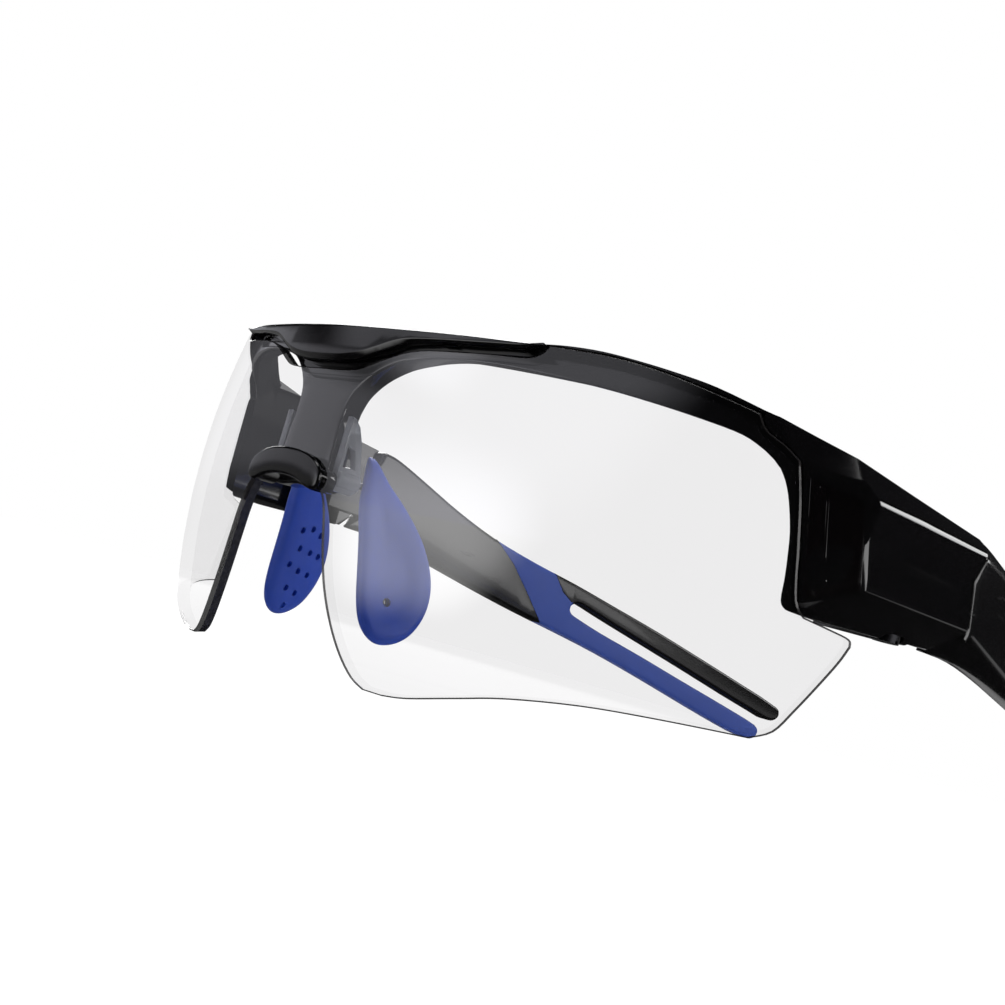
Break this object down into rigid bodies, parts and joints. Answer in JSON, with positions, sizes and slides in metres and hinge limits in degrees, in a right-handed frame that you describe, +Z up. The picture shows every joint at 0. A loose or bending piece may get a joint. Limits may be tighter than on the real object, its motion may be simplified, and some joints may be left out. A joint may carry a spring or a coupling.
{
  "type": "cycling sunglasses",
  "caption": "Half-rim cycling sunglasses with a clear wraparound shield lens, a glossy black brow, wire-mounted blue nose pads and forked folding temples with blue rubber grips.",
  "frame": {"origin": "on the plane that the lens stands on, in the middle of the open glasses seen from above", "axes": "+Z up, -Y the way the wearer looks, +X towards the wearer's left temple"},
  "size_m": [0.1402, 0.184, 0.0484],
  "materials": {
    "clear_lens": "clear hard-coated polycarbonate, polished on both faces",
    "black_plastic": "glossy black moulded nylon",
    "smoke_plastic": "translucent smoke-grey moulded plastic",
    "blue_rubber": "satin blue rubber",
    "steel": "plain steel"
  },
  "bodies": {
    "front": {"front_frame": "black_plastic", "shield_lens": "clear_lens", "lens_hook": "black_plastic", "nose_bracket": "smoke_plastic", "hinge_block_left": "black_plastic", "hinge_block_right": "black_plastic", "cheek_insert_left": "black_plastic", "cheek_insert_right": "black_plastic", "hinge_screw_left": "steel", "hinge_screw_right": "steel"},
    "temple_left": {"temple_arm_left": "black_plastic", "temple_grip_left": "blue_rubber", "hinge_bush_left": "steel"},
    "temple_right": {"temple_arm_right": "black_plastic", "temple_grip_right": "blue_rubber", "hinge_bush_right": "steel"},
    "pad_left": {"nose_pad_left": "blue_rubber", "pad_wire_left": "steel"},
    "pad_right": {"nose_pad_right": "blue_rubber", "pad_wire_right": "steel"}
  },
  "joints": [
    {"name": "temple_left_fold", "type": "hinge", "parent": "front", "child": "temple_left", "pos_m": [0.0649, -0.04103, 0.03195], "axis": [0, 0, 1], "range_deg": [0, 86]},
    {"name": "temple_right_fold", "type": "hinge", "parent": "front", "child": "temple_right", "pos_m": [-0.0649, -0.04103, 0.03195], "axis": [0, 0, -1], "range_deg": [0, 80]},
    {"name": "pad_left_swing", "type": "hinge", "parent": "front", "child": "pad_left", "pos_m": [0.0074, -0.0859, 0.0258], "axis": [0, -1, 0], "range_deg": [-8, 12]},
    {"name": "pad_right_swing", "type": "hinge", "parent": "front", "child": "pad_right", "pos_m": [-0.0074, -0.0859, 0.0258], "axis": [0, 1, 0], "range_deg": [-8, 12]}
  ]
}
